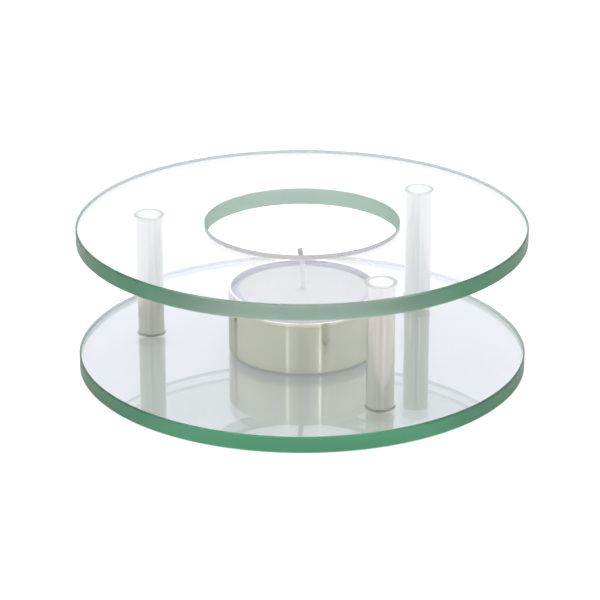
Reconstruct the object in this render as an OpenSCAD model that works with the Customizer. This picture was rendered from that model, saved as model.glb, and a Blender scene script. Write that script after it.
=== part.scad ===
// Teapot warmer: two round glass plates held apart by three bonded metal posts,
// with a tealight standing on the lower plate, under the hole in the upper one.
// Millimetres. The origin is the middle of the lower plate's underside, +Z is up
// and -Y is the front. Directions are degrees anticlockwise from +X, seen from above.

/* [Glass plates] */
// Diameter of both plates
plate_d = 120; // [110:1:200]
// Thickness of the lower plate
base_t = 4.5; // [3:0.1:8]
// Thickness of the upper plate
top_t = 4.5; // [3:0.1:8]
// Clear height between the plates
plate_gap = 31; // [26:0.5:60]
// Diameter of the hole over the flame
hole_d = 51; // [40:0.5:56]
// Width of the small bevel ground along every edge of the glass
arris = 0.4; // [0.2:0.05:1]

/* [Posts] */
// Diameter of a post
post_d = 7.2; // [5:0.1:9]
// Width of the bevel turned on both ends of a post
post_bevel = 0.45; // [0.1:0.05:0.8]
// From the edge of the plates to the middle of the left post
left_inset = 17.9; // [8:0.1:22]
// Direction in which the left post stands
left_azimuth = 167.7; // [150:0.1:190]
// From the edge of the plates to the middle of the back post
back_inset = 16.3; // [8:0.1:22]
// Direction in which the back post stands
back_azimuth = 42.4; // [30:0.1:70]
// From the edge of the plates to the middle of the front post
front_inset = 14.4; // [8:0.1:22]
// Direction in which the front post stands
front_azimuth = 295.8; // [280:0.1:320]

/* [Adhesive] */
// Thickness of the clear adhesive between a post's end and the glass
film_t = 0.15; // [0.05:0.05:0.4]
// Reach of the adhesive fillet beyond a post's foot
foot_reach = 0.4; // [0.2:0.05:1]
// Reach of the adhesive fillet beyond a post's top
top_reach = 0.5; // [0.2:0.05:1]
// Thickness of the adhesive at the edge of its fillet
feather_t = 0.05; // [0.02:0.01:0.1]

/* [Tealight cup] */
// Outer diameter of the cup
cup_d = 40; // [34:0.5:50]
// Height of the cup
cup_h = 14.5; // [10:0.5:20]
// Thickness of the cup's sheet
cup_wall = 0.3; // [0.2:0.05:0.5]
// Outer radius where the cup's wall turns into its floor
cup_foot_r = 0.7; // [0.6:0.05:1.5]
// Diameter of the hem rolled inwards round the rim
hem_d = 0.9; // [0.6:0.05:1.5]
// How far the cup stands to the right of the middle
cup_x = 0.25; // [-4:0.05:4]
// How far the cup stands behind the middle
cup_y = -1.35; // [-4:0.05:4]

/* [Wax and wick] */
// From the lower side of the hem down to the wax
wax_drop = 0.05; // [0.05:0.05:5]
// Play between the wax and the metal and cotton round it
wax_play = 0.15; // [0.05:0.05:0.3]
// Width of the slope along the upper edge of the wax
wax_slope_w = 2.2; // [0.5:0.1:4]
// Height of this slope
wax_slope_h = 1.2; // [0.3:0.1:3]
// Diameter of the wick
wick_d = 1.5; // [1:0.1:3]
// Length of wick that stands out of the wax
wick_show = 14.2; // [6:0.1:20]
// How far the tip of the wick turns from upright, in degrees
wick_turn = 20; // [2:1:40]
// Direction in which the wick curves
wick_azimuth = 110; // [0:1:360]
// Diameter of the tab that holds the wick
tab_d = 12; // [8:0.5:20]
// Thickness of the tab's sheet
tab_t = 0.25; // [0.2:0.05:0.5]
// Height of the neck crimped round the wick
tab_neck_h = 3; // [1.5:0.5:6]

/* [Hidden] */
$fn = 96;

glass_green = [0.78, 0.92, 0.87, 0.45];
steel_grey = [0.80, 0.80, 0.77];
clear_grey = [0.88, 0.89, 0.91, 0.6];
aluminium_grey = [0.83, 0.83, 0.81];
wax_white = [0.96, 0.95, 0.96];
cotton_white = [0.87, 0.86, 0.80];

plate_r = plate_d / 2;
top_z = base_t + plate_gap;
post_r = post_d / 2;
post_h = plate_gap - 2 * film_t;
left_place = [plate_r - left_inset, left_azimuth];
back_place = [plate_r - back_inset, back_azimuth];
front_place = [plate_r - front_inset, front_azimuth];

cup_r = cup_d / 2;
hem_r = hem_d / 2;
floor_z = base_t + cup_wall;
wax_h = cup_h - hem_d - cup_wall - wax_drop;
wax_r = cup_r - cup_wall - wax_play;
wax_foot_r = cup_foot_r - cup_wall + wax_play;
wick_r = wick_d / 2;
wick_curve_r = wick_show * 180 / (PI * wick_turn);
tab_neck_r = wick_r + tab_t;

// A round plate of glass with its edges ground, and a hole of radius hole_r or none at 0
module glass_plate(thickness, hole_r) {
    inner_bevel = hole_r > 0 ? arris : 0;
    rotate_extrude()
        polygon([
            [hole_r + inner_bevel, 0],
            [plate_r - arris, 0],
            [plate_r, arris],
            [plate_r, thickness - arris],
            [plate_r - arris, thickness],
            [hole_r + inner_bevel, thickness],
            [hole_r, thickness - inner_bevel],
            [hole_r, inner_bevel]
        ]);
}

module base_plate() {
    color(glass_green)
        glass_plate(base_t, 0);
}

module top_plate() {
    color(glass_green)
        translate([0, 0, top_z])
            glass_plate(top_t, hole_d / 2);
}

// Puts its children at a place given as a distance from the middle and a direction
module at_place(place) {
    translate([place[0] * cos(place[1]), place[0] * sin(place[1]), 0])
        children();
}

// Half of a post's outline, standing on the origin
module post_outline() {
    polygon([
        [0, 0],
        [post_r - post_bevel, 0],
        [post_r, post_bevel],
        [post_r, post_h - post_bevel],
        [post_r - post_bevel, post_h],
        [0, post_h]
    ]);
}

// A solid rod, beveled at both ends, that stands on its film of adhesive
module post(place) {
    color(steel_grey)
        at_place(place)
            translate([0, 0, base_t + film_t])
                rotate_extrude()
                    post_outline();
}

// Adhesive on a glass face at the origin: a film under the post's end, drawn up round
// the post into a hollow fillet
module adhesive_bead(reach) {
    rotate_extrude()
        difference() {
            square([post_r + reach, film_t + reach]);
            translate([post_r + reach, film_t + reach])
                circle(r = reach - feather_t);
            translate([0, film_t])
                post_outline();
        }
}

module adhesive_foot(place) {
    color(clear_grey)
        at_place(place)
            translate([0, 0, base_t])
                adhesive_bead(foot_reach);
}

module adhesive_top(place) {
    color(clear_grey)
        at_place(place)
            translate([0, 0, top_z])
                mirror([0, 0, 1])
                    adhesive_bead(top_reach);
}

// Puts its children on the axis of the tealight, at a height
module on_cup_axis(z) {
    translate([cup_x, cup_y, z])
        children();
}

// Half of a round pan's outline: a flat floor at z = low that turns up into a wall
module pan_outline(radius, low, high, corner_r) {
    translate([0, low])
        square([radius - corner_r, high - low]);
    translate([0, low + corner_r])
        square([radius, high - low - corner_r]);
    translate([radius - corner_r, low + corner_r])
        circle(r = corner_r);
}

// A drawn cup of thin sheet, with its rim rolled inwards flush with the wall
module tealight_cup() {
    color(aluminium_grey)
        on_cup_axis(base_t)
            rotate_extrude() {
                difference() {
                    pan_outline(cup_r, 0, cup_h - hem_r, cup_foot_r);
                    pan_outline(cup_r - cup_wall, cup_wall, cup_h, cup_foot_r - cup_wall);
                }
                translate([cup_r - hem_r, cup_h - hem_r])
                    circle(r = hem_r);
            }
}

// Half of the wax block's outline, rounded to clear the cup's corner and sloped along its top
module wax_outline() {
    difference() {
        pan_outline(wax_r, 0, wax_h, wax_foot_r);
        polygon([
            [wax_r - wax_slope_w, wax_h],
            [wax_r, wax_h - wax_slope_h],
            [cup_r, wax_h - wax_slope_h],
            [cup_r, cup_h],
            [wax_r - wax_slope_w, cup_h]
        ]);
    }
}

// The wax, with the hollow that the tab and the wick leave in it
module wax() {
    color(wax_white)
        on_cup_axis(floor_z)
            difference() {
                rotate_extrude()
                    wax_outline();
                translate([0, 0, -wax_play])
                    cylinder(h = tab_t + 2 * wax_play, d = tab_d + 2 * wax_play);
                translate([0, 0, -wax_play])
                    cylinder(h = tab_t + tab_neck_h + 2 * wax_play, r = tab_neck_r + wax_play);
                cylinder(h = 2 * wax_h, r = wick_r + wax_play);
            }
}

// A cord that stands on the cup's floor, rises straight through the wax and then curves
module wick() {
    color(cotton_white)
        on_cup_axis(floor_z)
            rotate([0, 0, wick_azimuth]) {
                cylinder(h = wax_h, r = wick_r);
                translate([wick_curve_r, 0, wax_h])
                    rotate([90, 0, 180])
                        rotate_extrude(angle = wick_turn)
                            translate([wick_curve_r, 0])
                                circle(r = wick_r);
            }
}

// A pressed tab: a flat disc on the cup's floor with a neck crimped round the wick
module wick_tab() {
    color(steel_grey)
        on_cup_axis(floor_z)
            difference() {
                union() {
                    cylinder(h = tab_t, d = tab_d);
                    cylinder(h = tab_t + tab_neck_h, r = tab_neck_r);
                }
                translate([0, 0, -tab_t])
                    cylinder(h = tab_neck_h + 3 * tab_t, r = wick_r);
            }
}

base_plate();
top_plate();
post(left_place);  // post_left
post(back_place);  // post_back
post(front_place);  // post_front
adhesive_foot(left_place);  // adhesive_left_foot
adhesive_foot(back_place);  // adhesive_back_foot
adhesive_foot(front_place);  // adhesive_front_foot
adhesive_top(left_place);  // adhesive_left_top
adhesive_top(back_place);  // adhesive_back_top
adhesive_top(front_place);  // adhesive_front_top
tealight_cup();
wax();
wick();
wick_tab();
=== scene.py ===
# %% [markdown]
# A teapot warmer in glass and metal
#
# Two round plates of clear glass are held apart by three polished posts, and a tealight
# stands between them, under the hole in the upper plate. The construction is already
# there as a frame of plain solids. This lesson dresses that frame: it models each piece
# again with finer edges, gives each one a material, and then builds the light that clear
# glass and bright metal need, since both of them mostly show what stands around them.

# %% Load the frame
import math

import bpy
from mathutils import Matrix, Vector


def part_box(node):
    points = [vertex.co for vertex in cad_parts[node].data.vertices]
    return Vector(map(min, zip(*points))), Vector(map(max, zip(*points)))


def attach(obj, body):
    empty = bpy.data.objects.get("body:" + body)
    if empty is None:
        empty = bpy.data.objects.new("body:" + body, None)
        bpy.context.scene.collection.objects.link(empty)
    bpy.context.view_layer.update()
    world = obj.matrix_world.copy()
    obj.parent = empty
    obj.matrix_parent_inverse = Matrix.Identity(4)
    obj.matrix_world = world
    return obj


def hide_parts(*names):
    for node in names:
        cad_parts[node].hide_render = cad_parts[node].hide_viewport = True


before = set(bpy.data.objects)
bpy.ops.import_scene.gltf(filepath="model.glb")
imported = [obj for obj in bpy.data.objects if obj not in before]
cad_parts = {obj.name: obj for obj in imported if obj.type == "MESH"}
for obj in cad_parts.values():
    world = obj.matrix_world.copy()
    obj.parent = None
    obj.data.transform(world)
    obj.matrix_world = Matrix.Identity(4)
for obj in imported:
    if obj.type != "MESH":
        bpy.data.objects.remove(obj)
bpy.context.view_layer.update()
print("The frame holds", len(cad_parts), "nodes")

# %% [markdown]
# Sizes come from the frame
#
# Every piece goes where its solid is, so its place and its size are read from that solid's
# box. Only what a box can't say is written here: small bevels, the width of the hole, the
# wall of the cup and the curve of the wick. Blender works in metres, and one name for a
# millimetre keeps the numbers readable. A piece that stands on another gets a hair of air
# under it, because two faces in one plane render with dark patches.

# %% Read the sizes
MM = 0.001
ARRIS = 0.4 * MM
HOLE_RADIUS = 25.5 * MM
AIR = 0.02 * MM


def box_of(node):
    """The lowest and the highest corner of a node."""
    low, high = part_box(node)
    return low, high


def middle_of(node):
    """The middle of a node's box, seen from above."""
    low, high = box_of(node)
    return (low.x + high.x) / 2, (low.y + high.y) / 2


def half_width(node):
    """Half the width of a node's box, which is the radius of an upright round piece."""
    low, high = box_of(node)
    return (high.x - low.x) / 2


base_low, base_high = box_of("base_plate")
top_low, top_high = box_of("top_plate")
plate_radius = base_high.x
print("The plates are", round(2 * plate_radius / MM, 1), "mm across")
print("The warmer is", round(top_high.z / MM, 1), "mm high")

# %% [markdown]
# Picking by place
#
# An operator acts on what is selected. By hand that is a click. In a script it is a test:
# which faces look up or down, which edges lie on this radius. The helper below clears
# every old selection, selects what passes the test and leaves the piece in edit mode,
# ready for the next operator.

# %% Helpers for picking
def nothing_selected():
    """Back to object mode, with nothing selected."""
    if bpy.context.object and bpy.context.object.mode != "OBJECT":
        bpy.ops.object.mode_set(mode="OBJECT")
    bpy.ops.object.select_all(action="DESELECT")


def pick(piece, kind, test):
    """Selects a piece's vertices, edges or faces that pass a test, in edit mode."""
    bpy.ops.object.mode_set(mode="EDIT")
    bpy.ops.mesh.select_mode(type=kind)
    bpy.ops.mesh.select_all(action="DESELECT")
    bpy.ops.object.mode_set(mode="OBJECT")
    mesh = piece.data
    if kind == "EDGE":
        for edge in mesh.edges:
            a, b = (mesh.vertices[i].co for i in edge.vertices)
            edge.select = test(a, b)
    else:
        for part in mesh.vertices if kind == "VERT" else mesh.polygons:
            part.select = test(part)
    bpy.ops.object.mode_set(mode="EDIT")


def is_level(face):
    """True for a face that looks straight up or straight down."""
    nearly_upright = 0.99
    return abs(face.normal.z) > nearly_upright


def on_circle(a, b, radius):
    """True for an edge that runs level round the upright axis, at this radius."""
    tolerance = 0.02 * MM
    level = abs(a.z - b.z) < tolerance
    return level and all(abs(math.hypot(p.x, p.y) - radius) < tolerance for p in (a, b))


# %% [markdown]
# Settling a piece
#
# Each piece is modelled round the scene's upright axis, where round shapes are easy, and
# then moved to its place. Applying that move puts it into the mesh, so that the object
# itself stays at the origin like the solids of the frame. Shading by angle keeps the real
# edges sharp. Then the piece takes the place of its solid.

# %% Helper for settling
def settle(piece, node, smooth_angle=30):
    """Puts the piece's place into its mesh, smooths it and lets it stand for its node."""
    nothing_selected()
    piece.select_set(True)
    bpy.context.view_layer.objects.active = piece
    bpy.ops.object.transform_apply(location=True, rotation=True, scale=True)
    bpy.ops.object.shade_smooth_by_angle(angle=math.radians(smooth_angle))
    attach(piece, "root")
    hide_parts(node)
    print(piece.name, "has", len(piece.data.polygons), "faces")


# %% [markdown]
# The glass plates
#
# On the real warmer each plate is cut from clear float glass, its edge is ground to a dull
# finish, and a narrow arris is taken off so that it doesn't cut fingers. A cylinder is the
# right start. For the upper plate both flat faces are inset to the size of the hole, and
# bridging the two inset faces cuts the hole through. The arris is a bevel of one segment,
# because a belt grinds it flat. A glass rim shows every facet, so the circle has many more
# sides than an opaque part would need.

# %% Model the plates
RIM_SIDES = 320


def glass_plate(name, low, high, hole):
    """A round plate between two corners of a box, with a hole of a radius or none at 0."""
    nothing_selected()
    bpy.ops.mesh.primitive_cylinder_add(
        vertices=RIM_SIDES, radius=plate_radius, depth=high.z - low.z,
        location=(0, 0, (low.z + high.z) / 2))
    plate = bpy.context.object
    plate.name = name
    if hole:
        pick(plate, "FACE", is_level)
        bpy.ops.mesh.inset(thickness=plate_radius - hole)
        bpy.ops.mesh.bridge_edge_loops()
    rims = [plate_radius, hole] if hole else [plate_radius]
    pick(plate, "EDGE", lambda a, b: any(on_circle(a, b, radius) for radius in rims))
    bpy.ops.mesh.bevel(offset=ARRIS, offset_type="OFFSET", segments=1)
    settle(plate, name.replace("_glass", ""))
    return plate


base_glass = glass_plate("base_plate_glass", base_low, base_high, hole=0)
top_glass = glass_plate("top_plate_glass", top_low, top_high, hole=HOLE_RADIUS)

# %% [markdown]
# The posts
#
# Each post is a solid rod of steel, cut to length and beveled at both ends. The bevel gets
# three segments here, which rounds it a little, as polishing does. The flat ends are inset
# by a hair, so that smooth shading bends only this narrow ring and not the whole end, which
# mirrors the sky through the upper plate.

# %% Model the posts
POST_SIDES = 96
POST_BEVEL = 0.45 * MM
END_INSET = 0.1 * MM


def post(name):
    """A polished rod in the box of its node."""
    low, high = box_of(name)
    radius = half_width(name)
    nothing_selected()
    bpy.ops.mesh.primitive_cylinder_add(
        vertices=POST_SIDES, radius=radius, depth=high.z - low.z,
        location=(0, 0, (low.z + high.z) / 2))
    rod = bpy.context.object
    rod.name = name + "_rod"
    pick(rod, "EDGE", lambda a, b: on_circle(a, b, radius))
    bpy.ops.mesh.bevel(offset=POST_BEVEL, offset_type="OFFSET", segments=3)
    pick(rod, "FACE", is_level)
    bpy.ops.mesh.inset(thickness=END_INSET)
    nothing_selected()
    rod.location.x, rod.location.y = middle_of(name)
    settle(rod, name, smooth_angle=35)
    return rod


posts = [post(name) for name in ("post_left", "post_back", "post_front")]

# %% [markdown]
# Turning an outline
#
# Round pieces with a shaped wall, such as a bead of adhesive, the cup and the wax, are one
# outline turned round an axis. Here the outline is followed by hand: a filled circle is
# the middle of the underside, and each step extrudes the open edge, lifts it and scales it
# to the next radius, until the last edge is filled again.

# %% Helpers for turned pieces
HUB = 2 * MM
SAME_PLACE = 0.001 * MM


def arc(centre_r, centre_z, radius, start, end, steps):
    """Points of an outline along a round stretch, as radius and height, angles in degrees."""
    angles = [math.radians(start + (end - start) * i / steps) for i in range(steps + 1)]
    return [(centre_r + radius * math.cos(a), centre_z + radius * math.sin(a)) for a in angles]


def turn_outline(name, outline, sides):
    """Follows an outline of radius and height round the axis, between two filled ends."""
    nothing_selected()
    radius, height = outline[0]
    bpy.ops.mesh.primitive_circle_add(vertices=sides, radius=radius, fill_type="NGON")
    piece = bpy.context.object
    piece.name = name
    bpy.ops.object.mode_set(mode="EDIT")
    bpy.ops.transform.translate(value=(0, 0, height))
    bpy.ops.mesh.select_mode(type="EDGE")
    for next_radius, next_height in outline[1:]:
        lift = (0, 0, next_height - height)
        bpy.ops.mesh.extrude_edges_move(TRANSFORM_OT_translate={"value": lift})
        scale = next_radius / radius
        bpy.ops.transform.resize(value=(scale, scale, 1), center_override=(0, 0, next_height))
        radius, height = next_radius, next_height
    bpy.ops.mesh.edge_face_add()
    bpy.ops.mesh.select_all(action="SELECT")
    bpy.ops.mesh.remove_doubles(threshold=SAME_PLACE)
    bpy.ops.mesh.normals_make_consistent(inside=False)
    bpy.ops.object.mode_set(mode="OBJECT")
    return piece


# %% [markdown]
# The adhesive
#
# A drop of clear adhesive joins each end of a post to the glass. Pressed flat it becomes a
# thin film, and what is squeezed out draws itself up round the post into a hollow fillet.
# The foot and the top of a post get the same bead, and the upper one hangs head down. The
# bead laps a hair's breadth into the steel and the upper plate, because a renderer sees
# air in the slightest gap, and cured adhesive leaves none. Under a foot a hair of air is
# left after all. Without it the ring would gather the deep green of the whole lower plate,
# where the photograph shows it a soft grey brown.

# %% Model the adhesive
BEAD_SIDES = 96
LAP = 0.02 * MM
FILM = 0.15 * MM
FEATHER = 0.05 * MM


def bead(place, end):
    """The adhesive at the foot or the top of a post, in the box of its node."""
    node = f"adhesive_{place}_{end}"
    low, high = box_of(node)
    post_radius = half_width("post_" + place)
    reach = half_width(node) - post_radius
    rim = post_radius + reach
    glass_side = AIR if end == "foot" else -LAP
    outline = [(HUB, glass_side), (rim, glass_side)]
    outline += arc(rim, FILM + reach, reach - FEATHER, start=270, end=180, steps=8)
    outline += [(post_radius - LAP, FILM + reach), (post_radius - LAP, FILM + POST_BEVEL)]
    outline += [(post_radius - POST_BEVEL - LAP, FILM + LAP), (HUB, FILM + LAP)]
    if end == "top":
        outline = [(radius, -height) for radius, height in outline]
    drop = turn_outline(f"bead_{place}_{end}", outline, BEAD_SIDES)
    drop.location = (*middle_of(node), low.z if end == "foot" else high.z)
    settle(drop, node, smooth_angle=40)
    return drop


beads = [bead(place, end) for place in ("left", "back", "front") for end in ("foot", "top")]

# %% [markdown]
# The tealight cup
#
# A tealight cup is drawn from thin aluminium sheet, and its rim is rolled inwards into a
# hem that comes out a little flat on top. The outline runs out along the floor, up the
# wall, over a tight outer corner, across the top, round the roll and down inside again.
# A few rings along the floor and the wall keep its faces from getting long and thin.

# %% Model the cup
CUP_SIDES = 192
CUP_HEIGHT = 14.5 * MM
CUP_WALL = 0.3 * MM
CUP_FOOT = 0.7 * MM
HEM_WIDTH = 0.75 * MM
HEM_CORNER = 0.12 * MM
HEM_ROLL = 0.3 * MM
ROLL_END = 235
ROLL_TO_WALL = 0.2 * MM
FLOOR_RINGS = (0.5, 0.9)
WALL_RINGS = (0.25, 0.5, 0.75)
RING_UNDER_HEM = 0.9

cup_low = box_of("tealight_cup")[0]
cup_radius = half_width("tealight_cup")
cup_x, cup_y = middle_of("tealight_cup")
hem_middle = cup_radius - HEM_WIDTH + HEM_ROLL

outline = [(HUB, 0)]
outline += [(cup_radius * share, 0) for share in FLOOR_RINGS]
outline += arc(cup_radius - CUP_FOOT, CUP_FOOT, CUP_FOOT, start=-90, end=0, steps=8)
outline += [(cup_radius, CUP_HEIGHT * share) for share in (*WALL_RINGS, RING_UNDER_HEM)]
outline += arc(
    cup_radius - HEM_CORNER, CUP_HEIGHT - HEM_CORNER, HEM_CORNER, start=0, end=90, steps=6)
outline += arc(hem_middle, CUP_HEIGHT - HEM_ROLL, HEM_ROLL, start=90, end=ROLL_END, steps=12)
inner_radius = cup_radius - CUP_WALL
inner_top = outline[-1][1] - ROLL_TO_WALL
outline += [(inner_radius, inner_top)]
outline += [(inner_radius, inner_top * share) for share in reversed(WALL_RINGS)]
outline += arc(
    inner_radius - CUP_FOOT + CUP_WALL, CUP_FOOT, CUP_FOOT - CUP_WALL,
    start=0, end=-90, steps=6)
outline += [(cup_radius * share, CUP_WALL) for share in reversed(FLOOR_RINGS)]
outline += [(HUB, CUP_WALL)]

cup = turn_outline("tealight_cup_sheet", outline, CUP_SIDES)
cup.location = (cup_x, cup_y, cup_low.z + AIR)
settle(cup, "tealight_cup", smooth_angle=50)

# %% [markdown]
# The wax
#
# The wax is a pressed block with a sloped upper edge, set into the cup round the wick, and
# it climbs a short way up the cotton. A soft dip across its face and rounded corners along
# the slope keep it from looking machined. The two rounded corners are short lists of steps
# in millimetres, out and up from the corner that they soften.

# %% Model the wax
WAX_SIDES = 160
WAX_FOOT = 0.55 * MM
UNDERSIDE_RING = 0.9
SLOPE_WIDTH = 2.2 * MM
SLOPE_HEIGHT = 1.2 * MM
LOWER_CORNER = [(0, -0.3), (-0.08, -0.08), (-0.3, 0.12)]
UPPER_CORNER = [(0.5, -0.24), (0.2, -0.1), (-0.1, -0.02)]
WAX_DIP = 0.12 * MM
DIP_RINGS = (0.97, 0.9, 0.8, 0.65, 0.5, 0.35, 0.2)
MENISCUS_WIDTH = 2 * MM
MENISCUS_HEIGHT = 0.35 * MM
MENISCUS_STEPS = 6
WICK_RADIUS = 0.75 * MM

wax_low, wax_high = box_of("wax")
wax_radius = half_width("wax")
wax_height = wax_high.z - wax_low.z - 2 * AIR
face_radius = wax_radius - SLOPE_WIDTH
shoulder = wax_height - SLOPE_HEIGHT

outline = [(HUB, 0), (wax_radius * UNDERSIDE_RING, 0)]
outline += arc(wax_radius - WAX_FOOT, WAX_FOOT, WAX_FOOT, start=-90, end=0, steps=6)
outline += [(wax_radius + out * MM, shoulder + up * MM) for out, up in LOWER_CORNER]
outline += [(face_radius + out * MM, wax_height + up * MM) for out, up in UPPER_CORNER]
for share in DIP_RINGS:
    outline += [(face_radius * share, wax_height - WAX_DIP * (1 - share ** 2))]
for step in range(1, MENISCUS_STEPS + 1):
    away = 1 - step / MENISCUS_STEPS
    climb = MENISCUS_HEIGHT * (1 - away) ** 2
    outline += [(WICK_RADIUS + MENISCUS_WIDTH * away, wax_height - WAX_DIP + climb)]

wax = turn_outline("wax_block", outline, WAX_SIDES)
wax.location = (cup_x, cup_y, wax_low.z + 2 * AIR)
settle(wax, "wax", smooth_angle=50)

# %% [markdown]
# The wick
#
# A tealight's wick is a thin cotton braid dipped in wax. Three plies twisted together give
# the same knobbly outline. A circle is pulled in at three places, which leaves three lobes,
# and each step up extrudes it and turns it a little.

# %% Twist the cord
CORD_POINTS = 12
PLIES = 3
VALLEY = 0.62
PLY_STEPS = 54
PLY_TURNS = 3.5
WICK_SHOW = 14.2 * MM

wick_low = box_of("wick")[0].z
wick_straight = wax_high.z - wick_low
wick_length = wick_straight + WICK_SHOW
step_up = (0, 0, wick_length / PLY_STEPS)
step_round = 2 * math.pi * PLY_TURNS / PLY_STEPS

nothing_selected()
bpy.ops.mesh.primitive_circle_add(vertices=CORD_POINTS, radius=WICK_RADIUS, fill_type="NGON")
wick = bpy.context.object
wick.name = "wick_cord"
pick(wick, "VERT", lambda vertex: vertex.index % (CORD_POINTS // PLIES) == 0)
bpy.ops.transform.resize(value=(VALLEY, VALLEY, 1), center_override=(0, 0, 0))
bpy.ops.mesh.select_all(action="SELECT")
for step in range(PLY_STEPS):
    bpy.ops.mesh.extrude_region_move(TRANSFORM_OT_translate={"value": step_up})
    height = wick_length * (step + 1) / PLY_STEPS
    bpy.ops.transform.rotate(value=step_round, orient_axis="Z", center_override=(0, 0, height))
bpy.ops.mesh.select_all(action="SELECT")
bpy.ops.mesh.normals_make_consistent(inside=False)
nothing_selected()
print("The wick is", round(wick_length / MM, 1), "mm long")

# %% [markdown]
# The wick's curve
#
# The wick leaves the wax upright and curves away as it goes. The easy way to bend a cord
# is to lay it along a path, so the path is drawn first: straight through the wax, and then
# along part of a circle that is as long as the wick shows.

# %% Draw the wick's path
WICK_TURN = math.radians(20)
WICK_DIRECTION = math.radians(110)
STRAIGHT_STEPS = 4
BEND_STEPS = 8

bpy.ops.curve.primitive_nurbs_path_add()
path = bpy.context.object
path.data.splines.clear()
curve_radius = WICK_SHOW / WICK_TURN
points = [(0, 0, wick_straight * i / STRAIGHT_STEPS) for i in range(STRAIGHT_STEPS + 1)]
for i in range(1, BEND_STEPS + 1):
    angle = WICK_TURN * i / BEND_STEPS
    away = curve_radius * (1 - math.cos(angle))
    up = wick_straight + curve_radius * math.sin(angle)
    points.append((away * math.cos(WICK_DIRECTION), away * math.sin(WICK_DIRECTION), up))
spline = path.data.splines.new("POLY")
spline.points.add(len(points) - 1)
for point, place in zip(spline.points, points):
    point.co = (*place, 1)
print("The wick's curve has a radius of", round(curve_radius / MM, 1), "mm")

# %% [markdown]
# The bent cord
#
# The curve modifier lays the straight cord along the path, and a subdivision surface then
# rounds the plies. Both are applied, so the path isn't needed any more.

# %% Bend the cord
nothing_selected()
wick.select_set(True)
bpy.context.view_layer.objects.active = wick
follow = wick.modifiers.new("follow the path", "CURVE")
follow.object = path
follow.deform_axis = "POS_Z"
soften = wick.modifiers.new("round the plies", "SUBSURF")
soften.levels = soften.render_levels = 2
for modifier in ("follow the path", "round the plies"):
    bpy.ops.object.modifier_apply(modifier=modifier)
bpy.data.objects.remove(path)
wick.location = (cup_x, cup_y, wick_low)
settle(wick, "wick", smooth_angle=60)

# %% [markdown]
# Materials
#
# Each material starts from what the real one is and how its surface was made. Colours are
# written as the sRGB hex values that a colour picker shows, and one function turns them to
# the linear numbers that a shader needs. Another adds a node, sets its properties and
# fills its sockets, each with a value or with a link, so that a material reads as a list.

# %% Helpers for materials
MIX_A = 6
MIX_B = 7
MIX_RESULT = 2


def linear(hex_code):
    """An sRGB hex colour as linear red, green, blue and alpha."""
    values = [int(hex_code[i:i + 2], 16) / 255 for i in (1, 3, 5)]
    return (*[v / 12.92 if v <= 0.04045 else ((v + 0.055) / 1.055) ** 2.4 for v in values], 1)


def fill(tree, node, sockets):
    """Gives each named or numbered socket of a node its value, or joins it to its source."""
    for socket, source in sockets.items():
        if isinstance(source, bpy.types.NodeSocket):
            tree.links.new(source, node.inputs[socket])
        else:
            node.inputs[socket].default_value = source


def add(tree, kind, sockets=None, **settings):
    """Adds a node, sets its properties and fills its sockets."""
    node = tree.nodes.new(kind)
    for name, value in settings.items():
        setattr(node, name, value)
    fill(tree, node, sockets or {})
    return node


def material(name):
    """A new material with a Principled shader, returned with its node tree and shader."""
    made = bpy.data.materials.new(name)
    made.use_nodes = True
    tree = made.node_tree
    shader = next(n for n in tree.nodes if n.type == "BSDF_PRINCIPLED")
    return made, tree, shader


def dress(pieces, made):
    """Gives pieces one material and nothing else."""
    for piece in pieces:
        piece.data.materials.clear()
        piece.data.materials.append(made)
    print(made.name, "on", ", ".join(piece.name for piece in pieces))


# %% [markdown]
# Where a pattern lies
#
# A pattern needs to know where on the piece it is. All pieces keep their place in their
# mesh, so Object coordinates are the warmer's own metres. They can be stretched, which
# draws a grain out into lines, or turned into the distance from an upright axis, which
# tells the inside of a round piece from its outside.

# %% Helpers for patterns
def object_place(tree, scale=(1, 1, 1)):
    """Object coordinates, stretched by a scale on each axis."""
    place = add(tree, "ShaderNodeTexCoord")
    stretch = add(
        tree, "ShaderNodeMapping", {"Vector": place.outputs["Object"], "Scale": scale})
    return stretch.outputs["Vector"]


def from_axis(tree, x, y):
    """The distance from the upright axis through x and y."""
    place = add(tree, "ShaderNodeTexCoord")
    offset = add(
        tree, "ShaderNodeVectorMath",
        {0: place.outputs["Object"], 1: (x, y, 0)}, operation="SUBTRACT")
    flat = add(
        tree, "ShaderNodeVectorMath", {0: offset.outputs[0], 1: (1, 1, 0)}, operation="MULTIPLY")
    distance = add(tree, "ShaderNodeVectorMath", {0: flat.outputs[0]}, operation="LENGTH")
    return distance.outputs["Value"]


# %% [markdown]
# Clear float glass
#
# Ordinary float glass holds a little iron, which eats red light and some blue. Through a
# thin plate that can't be seen. Light that enters at an edge travels the whole width of
# the plate, and comes out green. A volume absorption does just that: the longer the way
# through the glass, the deeper the colour, so the edge of the whole lower plate turns out
# darker than that of the upper one, whose hole shortens the way. A wheel has ground the
# rims fine and the wall of the hole coarser. Ground glass scatters light, so both get a
# roughness, by their distance from the axis. The rim also gets a painted shade of green
# grey, which stands in for the green and the dark that light gathers on its way through
# the plate, and the wall of the hole gets a faint pink tint.

# %% Make the glass
GLASS_IOR = 1.52
GLASS_GREEN = "#72D0A8"
GREEN_DENSITY = 20.0
RIM_ROUGHNESS = 0.32
# The rim's tint is painted shade: a green grey that stands in for the green and the dark that
# light gathers in the plate.
RIM_PAINTED_SHADE = "#B4D4C6"
BORE_ROUGHNESS = 0.6
BORE_TINT = "#FADCDE"


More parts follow.
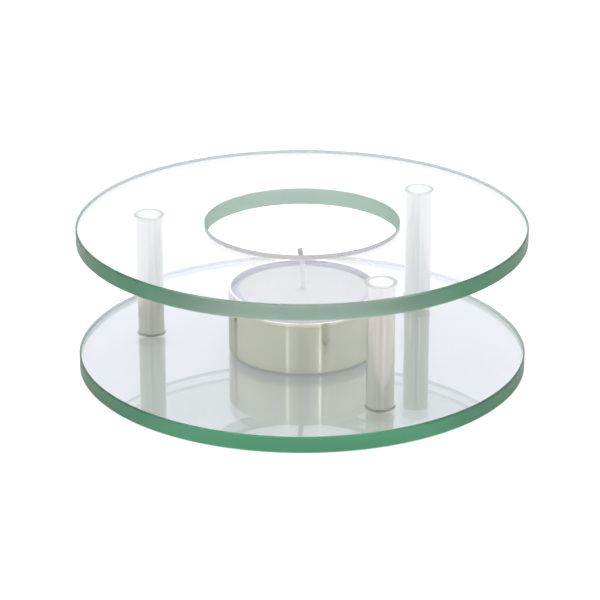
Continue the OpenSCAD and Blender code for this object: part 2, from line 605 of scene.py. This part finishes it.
def ground_edges(tree, hole):
    """Masks that are 1 on the rim with its arris, on the rim alone, and in the hole."""
    distance = from_axis(tree, 0, 0)
    rim_start = plate_radius - 2 * AIR
    rough_start = plate_radius - ARRIS - AIR
    bore_end = hole + ARRIS + AIR if hole else 0
    rough = add(tree, "ShaderNodeMath", {0: distance, 1: rough_start}, operation="GREATER_THAN")
    rim = add(tree, "ShaderNodeMath", {0: distance, 1: rim_start}, operation="GREATER_THAN")
    bore = add(tree, "ShaderNodeMath", {0: distance, 1: bore_end}, operation="LESS_THAN")
    return rough.outputs[0], rim.outputs[0], bore.outputs[0]


def float_glass(name, hole):
    """Clear float glass whose rim is ground fine, and the wall of its hole coarse."""
    made, tree, shader = material(name)
    ground, rim, bore = ground_edges(tree, hole)
    rough_rim = add(tree, "ShaderNodeMath", {0: ground, 1: RIM_ROUGHNESS}, operation="MULTIPLY")
    rough = add(
        tree, "ShaderNodeMath",
        {0: bore, 1: BORE_ROUGHNESS, 2: rough_rim.outputs[0]}, operation="MULTIPLY_ADD")
    # Painted shade on the rim: the rim mask mixes in the green grey.
    rim_with_painted_shade = add(
        tree, "ShaderNodeMix",
        {"Factor": rim, MIX_A: linear("#FFFFFF"), MIX_B: linear(RIM_PAINTED_SHADE)}, data_type="RGBA")
    tint = add(
        tree, "ShaderNodeMix",
        {"Factor": bore, MIX_A: rim_with_painted_shade.outputs[MIX_RESULT], MIX_B: linear(BORE_TINT)},
        data_type="RGBA")
    fill(tree, shader, {
        "Base Color": tint.outputs[MIX_RESULT],
        "Roughness": rough.outputs[0],
        "IOR": GLASS_IOR,
        "Transmission Weight": 1.0,
    })
    volume = add(
        tree, "ShaderNodeVolumeAbsorption",
        {"Color": linear(GLASS_GREEN), "Density": GREEN_DENSITY})
    output = next(n for n in tree.nodes if n.type == "OUTPUT_MATERIAL")
    fill(tree, output, {"Volume": volume.outputs["Volume"]})
    return made


dress([base_glass], float_glass("float_glass_plain_disc", hole=0))
dress([top_glass], float_glass("float_glass_with_ground_hole", hole=HOLE_RADIUS))

# %% [markdown]
# Clear adhesive
#
# The posts are bonded with a clear adhesive that sets under ultraviolet light. The film is
# as clear as water and a little less dense than glass. The fillet round it has set with a
# slightly dull skin and a faint grey-brown tint. It is told from the film by the way its
# surface faces.

# %% Make the adhesive
ADHESIVE_IOR = 1.49
FILM_FACES_UP = 0.9
SKIN_ROUGHNESS = 0.3
SKIN_TINT = "#E2DFD2"

adhesive, tree, shader = material("clear_cured_adhesive")
place = add(tree, "ShaderNodeTexCoord")
parts = add(tree, "ShaderNodeSeparateXYZ", {0: place.outputs["Normal"]})
upright = add(tree, "ShaderNodeMath", {0: parts.outputs["Z"]}, operation="ABSOLUTE")
skin = add(
    tree, "ShaderNodeMath", {0: upright.outputs[0], 1: FILM_FACES_UP}, operation="LESS_THAN")
tint = add(
    tree, "ShaderNodeMix",
    {"Factor": skin.outputs[0], MIX_A: linear("#FFFFFF"), MIX_B: linear(SKIN_TINT)},
    data_type="RGBA")
rough = add(tree, "ShaderNodeMath", {0: skin.outputs[0], 1: SKIN_ROUGHNESS}, operation="MULTIPLY")
fill(tree, shader, {
    "Base Color": tint.outputs[MIX_RESULT],
    "Roughness": rough.outputs[0],
    "IOR": ADHESIVE_IOR,
    "Transmission Weight": 1.0,
})
dress(beads, adhesive)

# %% [markdown]
# Ground and polished steel
#
# The rods were ground while they turned, which leaves rings far too fine to draw. They
# smear each reflection up and down the rod and leave it sharp from side to side, and this
# is what the anisotropy is for: turned by a quarter, it smears along the height. Polishing
# then leaves faint upright streaks. They are finer than a pixel on the real rod, so they
# are drawn 0.4 mm wide here, by a noise that is stretched along the height and drives the
# tone, the roughness and a shallow bump. A noise hardly ever leaves its middle range, so
# that range is what the streaks are spread over.

# %% Make the steel
STREAK_WIDTH = 0.4 * MM
STREAK_LENGTH = 300 * MM
STREAK_DEPTH = 0.05 * MM
NOISE_RANGE = (0.3, 0.7)
TONE_RANGE = (0.35, 0.65)
STEEL_ROUGHNESS = (0.14, 0.22)
STEEL_TONES = ("#E6E4DC", "#EFECE4")
QUARTER_TURN = 0.25

steel, tree, shader = material("ground_and_polished_steel")
along_the_rod = object_place(tree, (1 / STREAK_WIDTH, 1 / STREAK_WIDTH, 1 / STREAK_LENGTH))
streaks = add(tree, "ShaderNodeTexNoise", {"Vector": along_the_rod, "Scale": 1.0})
rough = add(tree, "ShaderNodeMapRange", {
    "Value": streaks.outputs["Fac"],
    "From Min": NOISE_RANGE[0], "From Max": NOISE_RANGE[1],
    "To Min": STEEL_ROUGHNESS[0], "To Max": STEEL_ROUGHNESS[1],
})
bump = add(
    tree, "ShaderNodeBump",
    {"Height": streaks.outputs["Fac"], "Strength": 0.5, "Distance": STREAK_DEPTH})
light_streaks = add(tree, "ShaderNodeMapRange", {
    "Value": streaks.outputs["Fac"],
    "From Min": TONE_RANGE[0], "From Max": TONE_RANGE[1],
})
tone = add(tree, "ShaderNodeMix", {
    "Factor": light_streaks.outputs["Result"],
    MIX_A: linear(STEEL_TONES[0]), MIX_B: linear(STEEL_TONES[1]),
}, data_type="RGBA")
fill(tree, shader, {
    "Base Color": tone.outputs[MIX_RESULT],
    "Roughness": rough.outputs["Result"],
    "Normal": bump.outputs["Normal"],
    "Metallic": 1.0,
    "Anisotropic": 1.0,
    "Anisotropic Rotation": QUARTER_TURN,
})
dress(posts, steel)

# %% [markdown]
# Drawn aluminium sheet
#
# The cup is pressed from bright aluminium. Drawing leaves faint upright lines on its wall
# and a ripple of about a millimetre, so reflections in it wander a little where a turned
# piece would show them straight. Inside, the wall is painted whiter and cooler: a painted
# reflection of the pale lavender that it mirrors from the wax and the plate above.
# Seen at a low angle the sheet is a little dull, which the specular tint stands for.

# %% Make the aluminium
LINE_WIDTH = 0.8 * MM
LINE_LENGTH = 60 * MM
RIPPLE_SIZE = 1.0 * MM
RIPPLE_SHARE = 1.5
RIPPLE_DEPTH = 0.01 * MM
SHEET_ROUGHNESS = (0.08, 0.18)
SHEET_OUTSIDE = "#F5F2E4"
# The inner wall's whiter, cooler colour is a painted reflection of the pale lavender that it
# mirrors.
SHEET_INSIDE_PAINTED_REFLECTION = "#FAF8FF"
SHEET_EDGE_ON = "#CBCBCB"

aluminium, tree, shader = material("drawn_aluminium_sheet")
up_the_wall = object_place(tree, (1 / LINE_WIDTH, 1 / LINE_WIDTH, 1 / LINE_LENGTH))
lines = add(tree, "ShaderNodeTexNoise", {"Vector": up_the_wall, "Scale": 1.0})
rough = add(tree, "ShaderNodeMapRange", {
    "Value": lines.outputs["Fac"],
    "From Min": NOISE_RANGE[0], "From Max": NOISE_RANGE[1],
    "To Min": SHEET_ROUGHNESS[0], "To Max": SHEET_ROUGHNESS[1],
})
ripple = add(
    tree, "ShaderNodeTexNoise",
    {"Vector": object_place(tree), "Scale": 1 / RIPPLE_SIZE, "Detail": 1.0})
height = add(
    tree, "ShaderNodeMath",
    {0: ripple.outputs["Fac"], 1: RIPPLE_SHARE, 2: lines.outputs["Fac"]},
    operation="MULTIPLY_ADD")
bump = add(
    tree, "ShaderNodeBump",
    {"Height": height.outputs[0], "Strength": 0.15, "Distance": RIPPLE_DEPTH})
# Painted reflection: the wall inside the cup gets the whiter, cooler colour.
inside = add(
    tree, "ShaderNodeMath",
    {0: from_axis(tree, cup_x, cup_y), 1: cup_radius - 0.5 * CUP_WALL}, operation="LESS_THAN")
tint = add(
    tree, "ShaderNodeMix",
    {"Factor": inside.outputs[0], MIX_A: linear(SHEET_OUTSIDE), MIX_B: linear(SHEET_INSIDE_PAINTED_REFLECTION)},
    data_type="RGBA")
fill(tree, shader, {
    "Base Color": tint.outputs[MIX_RESULT],
    "Roughness": rough.outputs["Result"],
    "Normal": bump.outputs["Normal"],
    "Metallic": 1.0,
    "Specular Tint": linear(SHEET_EDGE_ON),
})
dress([cup], aluminium)

# %% [markdown]
# White paraffin wax
#
# Wax lets light in a little way and scatters it back, so its edges glow and its shadows
# stay soft. Fine grains in the set wax mottle its face very slightly. Where the block
# slopes down to the cup, a cool grey is painted on as the shade that the wall of the cup
# casts there.

# %% Make the wax material
GRAIN_SIZE = 1.2 * MM
GRAIN_DEPTH = 0.03 * MM
WAX_TONES = ("#ECE7E1", "#E4DFD9")
# The slope's cool grey is painted shade, where the wall of the cup shades the wax.
PAINTED_SLOPE_SHADE = "#C9C9D4"
SLOPE_BLEND = 0.5 * MM
WAX_ROUGHNESS = 0.45
WAX_IOR = 1.44
WAX_GLOW = 0.4
WAX_GLOW_REACH = (1.6, 1.3, 1.1)

paraffin, tree, shader = material("poured_white_paraffin")
grain = add(
    tree, "ShaderNodeTexNoise",
    {"Vector": object_place(tree), "Scale": 1 / GRAIN_SIZE, "Detail": 4.0})
mottled = add(tree, "ShaderNodeMix", {
    "Factor": grain.outputs["Fac"],
    MIX_A: linear(WAX_TONES[0]), MIX_B: linear(WAX_TONES[1]),
}, data_type="RGBA")
# Painted shade: the slope towards the cup is mixed to the cool grey.
slope = add(tree, "ShaderNodeMapRange", {
    "Value": from_axis(tree, cup_x, cup_y),
    "From Min": face_radius - SLOPE_BLEND, "From Max": face_radius,
})
slope_with_painted_shade = add(tree, "ShaderNodeMix", {
    "Factor": slope.outputs["Result"],
    MIX_A: mottled.outputs[MIX_RESULT], MIX_B: linear(PAINTED_SLOPE_SHADE),
}, data_type="RGBA")
bump = add(
    tree, "ShaderNodeBump",
    {"Height": grain.outputs["Fac"], "Strength": 0.2, "Distance": GRAIN_DEPTH})
fill(tree, shader, {
    "Base Color": slope_with_painted_shade.outputs[MIX_RESULT],
    "Normal": bump.outputs["Normal"],
    "Roughness": WAX_ROUGHNESS,
    "IOR": WAX_IOR,
    "Subsurface Weight": WAX_GLOW,
    "Subsurface Radius": WAX_GLOW_REACH,
    "Subsurface Scale": 1 * MM,
})
dress([wax], paraffin)

# %% [markdown]
# Waxed cotton
#
# The wick is bleached cotton soaked in wax. It is shinier than dry cotton and lets light
# through, which the subsurface share stands for. Its fibres give a fine mottled relief.

# %% Make the cotton
FIBRE_SIZE = 0.15 * MM
FIBRE_DEPTH = 0.03 * MM
COTTON_TONES = ("#FCFCF8", "#F0F0E8")
COTTON_ROUGHNESS = 0.55

cotton, tree, shader = material("waxed_cotton_braid")
fibres = add(
    tree, "ShaderNodeTexNoise",
    {"Vector": object_place(tree), "Scale": 1 / FIBRE_SIZE, "Detail": 3.0})
tint = add(tree, "ShaderNodeMix", {
    "Factor": fibres.outputs["Fac"],
    MIX_A: linear(COTTON_TONES[0]), MIX_B: linear(COTTON_TONES[1]),
}, data_type="RGBA")
bump = add(
    tree, "ShaderNodeBump",
    {"Height": fibres.outputs["Fac"], "Strength": 0.3, "Distance": FIBRE_DEPTH})
fill(tree, shader, {
    "Base Color": tint.outputs[MIX_RESULT],
    "Normal": bump.outputs["Normal"],
    "Roughness": COTTON_ROUGHNESS,
    "Subsurface Weight": 1.0,
    "Subsurface Radius": (1.0, 1.0, 1.0),
    "Subsurface Scale": 2 * MM,
})
dress([wick], cotton)

# %% [markdown]
# Tinned sheet
#
# The tab that holds the wick is tinned steel, with the cloudy dullness of a dipped coat.
# It is buried in the wax, and is finished all the same, for whoever takes the pieces
# apart. Its solid has the right shape already, so it stays and only gets this material.

# %% Make the tin
CLOUD_SIZE = 2 * MM
TIN_ROUGHNESS = (0.2, 0.4)
TIN_TONE = "#C4C4C2"

tin, tree, shader = material("tinned_sheet")
cloud = add(
    tree, "ShaderNodeTexNoise",
    {"Vector": object_place(tree), "Scale": 1 / CLOUD_SIZE, "Detail": 2.0})
rough = add(tree, "ShaderNodeMapRange", {
    "Value": cloud.outputs["Fac"],
    "To Min": TIN_ROUGHNESS[0], "To Max": TIN_ROUGHNESS[1],
})
fill(tree, shader, {
    "Base Color": linear(TIN_TONE),
    "Roughness": rough.outputs["Result"],
    "Metallic": 1.0,
})
dress([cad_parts["wick_tab"]], tin)

# %% [markdown]
# The camera
#
# The photograph was taken with a long lens from a little above, square to the front. The
# angle, distance and lens below were found from the outlines of the two plates, which are
# four ellipses that only one camera position can draw.

# %% Place the camera
CAMERA_ELEVATION = math.radians(21.5)
CAMERA_DISTANCE = 684.0 * MM
LENS_MM = 153.1
CAMERA_SHIFT = (-0.0036, -0.0154)
NEAREST_SEEN = 0.01

aim_height = top_high.z / 2
nothing_selected()
bpy.ops.object.camera_add(
    location=(
        0,
        -CAMERA_DISTANCE * math.cos(CAMERA_ELEVATION),
        aim_height + CAMERA_DISTANCE * math.sin(CAMERA_ELEVATION)),
    rotation=(math.pi / 2 - CAMERA_ELEVATION, 0, 0))
camera = bpy.context.object
camera.data.lens = LENS_MM
camera.data.shift_x, camera.data.shift_y = CAMERA_SHIFT
camera.data.clip_start = NEAREST_SEEN
bpy.context.scene.camera = camera
print("The camera stands at", [round(v, 3) for v in camera.location])

# %% [markdown]
# A background for the camera
#
# The photograph's background is plain white. Making the surroundings bright enough for
# that would flood the object with light. So the white is shown only to rays that come
# straight from the camera, and in part to those that metal mirrors or glass sends on.

# %% Helper for the background
def seen_directly(tree, share):
    """1 for rays from the camera, a share for those mirrored or sent on by glass, else 0."""
    rays = add(tree, "ShaderNodeLightPath")
    either = add(
        tree, "ShaderNodeMath",
        {0: rays.outputs["Is Glossy Ray"], 1: rays.outputs["Is Transmission Ray"]},
        operation="MAXIMUM")
    part = add(tree, "ShaderNodeMath", {0: either.outputs[0], 1: share}, operation="MULTIPLY")
    any_of = add(
        tree, "ShaderNodeMath",
        {0: rays.outputs["Is Camera Ray"], 1: part.outputs[0]}, operation="MAXIMUM")
    return any_of.outputs[0]


# %% [markdown]
# The floor
#
# The floor is a sheet of glossy white acrylic that still takes the warmer's shadow. Its
# gloss matters, because an upright post seen from above mirrors the floor in front of it,
# and so shows the two lamps that the floor mirrors in turn. Some light of the floor's own
# lifts it to white where no shadow falls. The camera sees all of this glow, and glass and
# metal see about a third of it.

# %% Lay the floor
FLOOR_SIZE = 6.0
FLOOR_DROP = 0.02 * MM
FLOOR_TONE = "#C6C3C5"
FLOOR_GLOW = 0.78
GLOW_IN_GLASS_AND_METAL = 0.36
ACRYLIC_ROUGHNESS = 0.12
ACRYLIC_IOR = 1.49

nothing_selected()
bpy.ops.mesh.primitive_plane_add(size=FLOOR_SIZE, location=(0, 0, -FLOOR_DROP))
floor = bpy.context.object
floor.name = "floor"
acrylic, tree, shader = material("glossy_white_acrylic")
glow = add(
    tree, "ShaderNodeMath",
    {0: seen_directly(tree, GLOW_IN_GLASS_AND_METAL), 1: FLOOR_GLOW}, operation="MULTIPLY")
fill(tree, shader, {
    "Base Color": linear(FLOOR_TONE),
    "Roughness": ACRYLIC_ROUGHNESS,
    "IOR": ACRYLIC_IOR,
    "Emission Color": linear("#FFFFFF"),
    "Emission Strength": glow.outputs[0],
})
dress([floor], acrylic)

# %% [markdown]
# The surroundings
#
# Glass and metal show the room they stand in. The world is white behind and gets darker
# towards the front, where the room is. Straight in front it is darkest, in a narrow band,
# which is the camera on its stand. Only glass and metal see these differences. As a
# light, the world is an even and rather weak white.

# %% Set up the world
WORLD_AMBIENT = 0.5
FRONT_SHARE = 0.38
FRONT_END = -0.7
BACK_END = 1.0
STAND_RANGE = (0.11, 0.23)

world = bpy.data.worlds.new("studio")
bpy.context.scene.world = world
world.use_nodes = True
tree = world.node_tree
tree.nodes.clear()
direction = add(tree, "ShaderNodeTexCoord")
parts = add(tree, "ShaderNodeSeparateXYZ", {0: direction.outputs["Generated"]})
from_front = add(tree, "ShaderNodeMapRange", {
    "Value": parts.outputs["Y"],
    "From Min": FRONT_END, "From Max": BACK_END,
    "To Min": FRONT_SHARE, "To Max": 1.0,
})
sideways = add(tree, "ShaderNodeMath", {0: parts.outputs["X"]}, operation="ABSOLUTE")
middle = add(tree, "ShaderNodeMapRange", {
    "Value": sideways.outputs[0],
    "From Min": STAND_RANGE[0], "From Max": STAND_RANGE[1],
    "To Min": 1.0, "To Max": 0.0,
})
in_front = add(tree, "ShaderNodeMath", {0: parts.outputs["Y"], 1: 0.0}, operation="LESS_THAN")
stand = add(
    tree, "ShaderNodeMath",
    {0: middle.outputs["Result"], 1: in_front.outputs[0]}, operation="MULTIPLY")
beside_stand = add(tree, "ShaderNodeMath", {0: 1.0, 1: stand.outputs[0]}, operation="SUBTRACT")
share = add(
    tree, "ShaderNodeMath",
    {0: from_front.outputs["Result"], 1: beside_stand.outputs[0]}, operation="MULTIPLY")
ambient = add(
    tree, "ShaderNodeBackground", {"Color": linear("#FFFFFF"), "Strength": WORLD_AMBIENT})
shown = add(tree, "ShaderNodeBackground", {"Color": linear("#FFFFFF"), "Strength": 1.0})
choice = add(
    tree, "ShaderNodeMixShader",
    {0: seen_directly(tree, share.outputs[0]), 1: ambient.outputs[0], 2: shown.outputs[0]})
add(tree, "ShaderNodeOutputWorld", {"Surface": choice.outputs[0]})
print("The world lights the warmer at", WORLD_AMBIENT)

# %% [markdown]
# The lamps
#
# A large soft lamp hangs above and behind, and a tall bright wall stands at the back. The
# wall is what the glass mirrors at this low angle. Two narrow upright lamps in front draw
# the pair of thin highlights on the cup and the posts. Each lamp is set by its radiance,
# the brightness that its face shows, so that its size can change without its look.

# %% Hang the lamps
WARMER_MIDDLE = (0, 0, 0.02)
WALL_MIDDLE = 1.05
STRIP_SIZE = (0.06, 0.6)


def lamp(name, radiance, size, place, target=WARMER_MIDDLE, colour="#FFFFFF"):
    """A flat lamp of a width and height, as bright as its radiance, turned to a target."""
    width, height = size
    nothing_selected()
    bpy.ops.object.light_add(type="AREA", location=place)
    made = bpy.context.object
    made.name = name
    made.data.shape = "RECTANGLE"
    made.data.size, made.data.size_y = width, height
    made.data.energy = radiance * math.pi * width * height
    made.data.color = linear(colour)[:3]
    away = [p - t for p, t in zip(place, target)]
    tilt = math.atan2(math.hypot(away[0], away[1]), away[2])
    made.rotation_euler = (tilt, 0, math.atan2(away[1], away[0]) + math.pi / 2)
    print(name, "gives", round(made.data.energy, 2), "W")


lamp("lamp_above", radiance=1.2, size=(0.9, 0.9), place=(0.1, 0.45, 1.0))
lamp(
    "wall_behind", radiance=0.86, size=(1.8, 2.0), place=(0, 1.6, WALL_MIDDLE),
    target=(0, 0, WALL_MIDDLE), colour="#E9DEFF")
lamp("strip_left", radiance=0.9, size=STRIP_SIZE, place=(-0.36, -0.82, 0.4))
lamp("strip_right", radiance=1.5, size=STRIP_SIZE, place=(0.395, -0.805, 0.4))

# %% [markdown]
# Long ways through glass
#
# Light that enters the edge of a plate is thrown to and fro between its faces all the way
# to the far side. A renderer gives up after a few such bounces and paints the rest black,
# so the limits go up far enough for one crossing. The view transform is Standard, which
# shows a colour as it is written.

# %% Let the light travel
scene = bpy.context.scene
scene.cycles.max_bounces = 48
scene.cycles.glossy_bounces = 32
scene.cycles.transmission_bounces = 32
scene.view_settings.view_transform = "Standard"
print("Light may turn", scene.cycles.max_bounces, "times")
